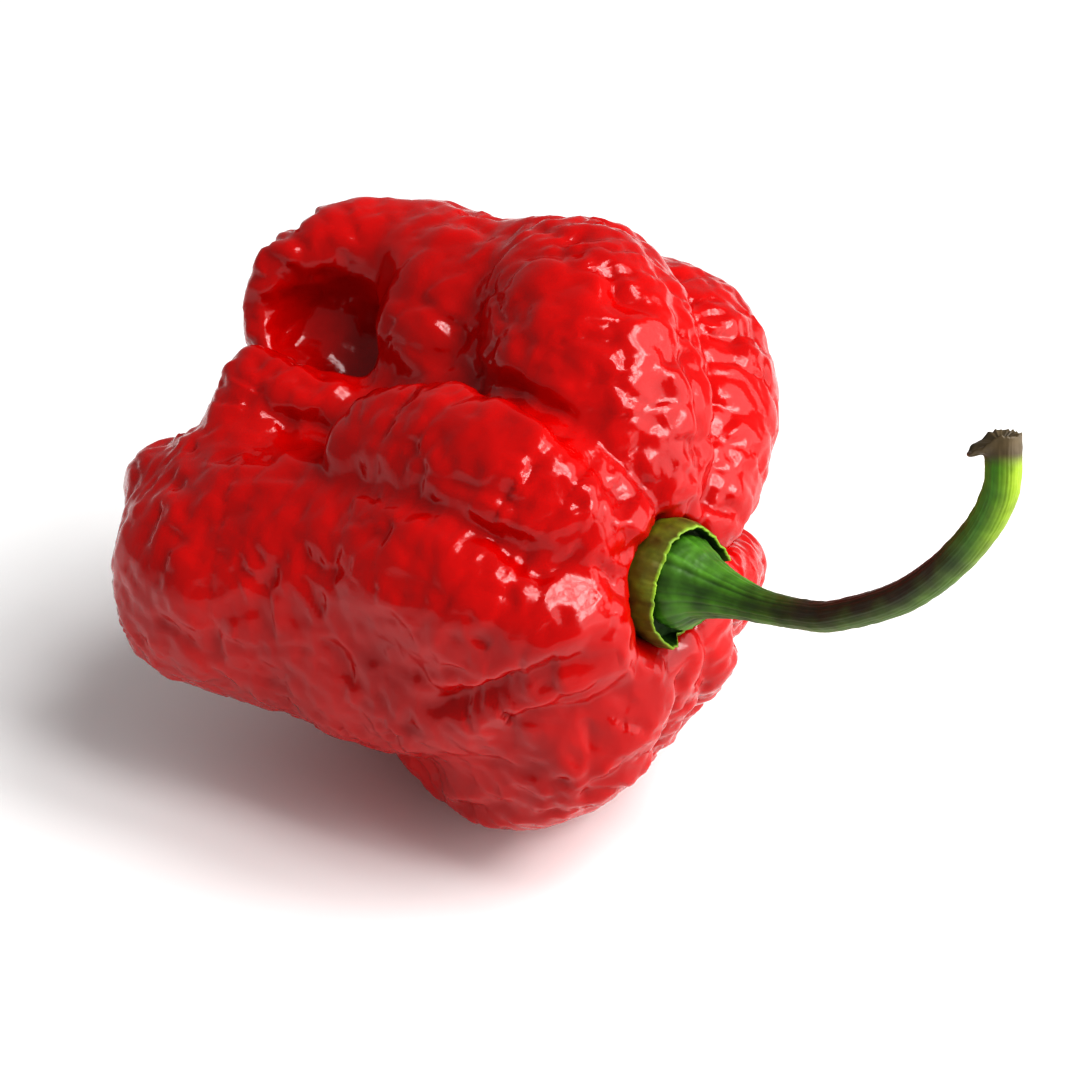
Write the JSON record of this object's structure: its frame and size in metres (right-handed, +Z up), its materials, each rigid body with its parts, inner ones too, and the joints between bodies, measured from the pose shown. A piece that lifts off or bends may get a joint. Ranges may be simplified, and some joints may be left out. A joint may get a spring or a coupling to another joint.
{
  "type": "chilli pepper",
  "caption": "Ripe red chilli pepper lying on its side: a squat, lobed, wrinkled pod with a deep hollow at the blossom end, a green calyx collar and a thin curved stalk.",
  "frame": {"origin": "below the middle of the whole pepper's bounding box, on the surface that it lies on", "axes": "+Z up, +X along the pod from the blossom end to the stalk end, +Y across it"},
  "size_m": [0.0694, 0.0475, 0.0466],
  "materials": {
    "skin": "glossy",
    "calyx": "satin",
    "stem": "satin"
  },
  "bodies": {
    "root": {"fruit": "skin", "calyx": "calyx", "stem": "stem"}
  },
  "joints": []
}
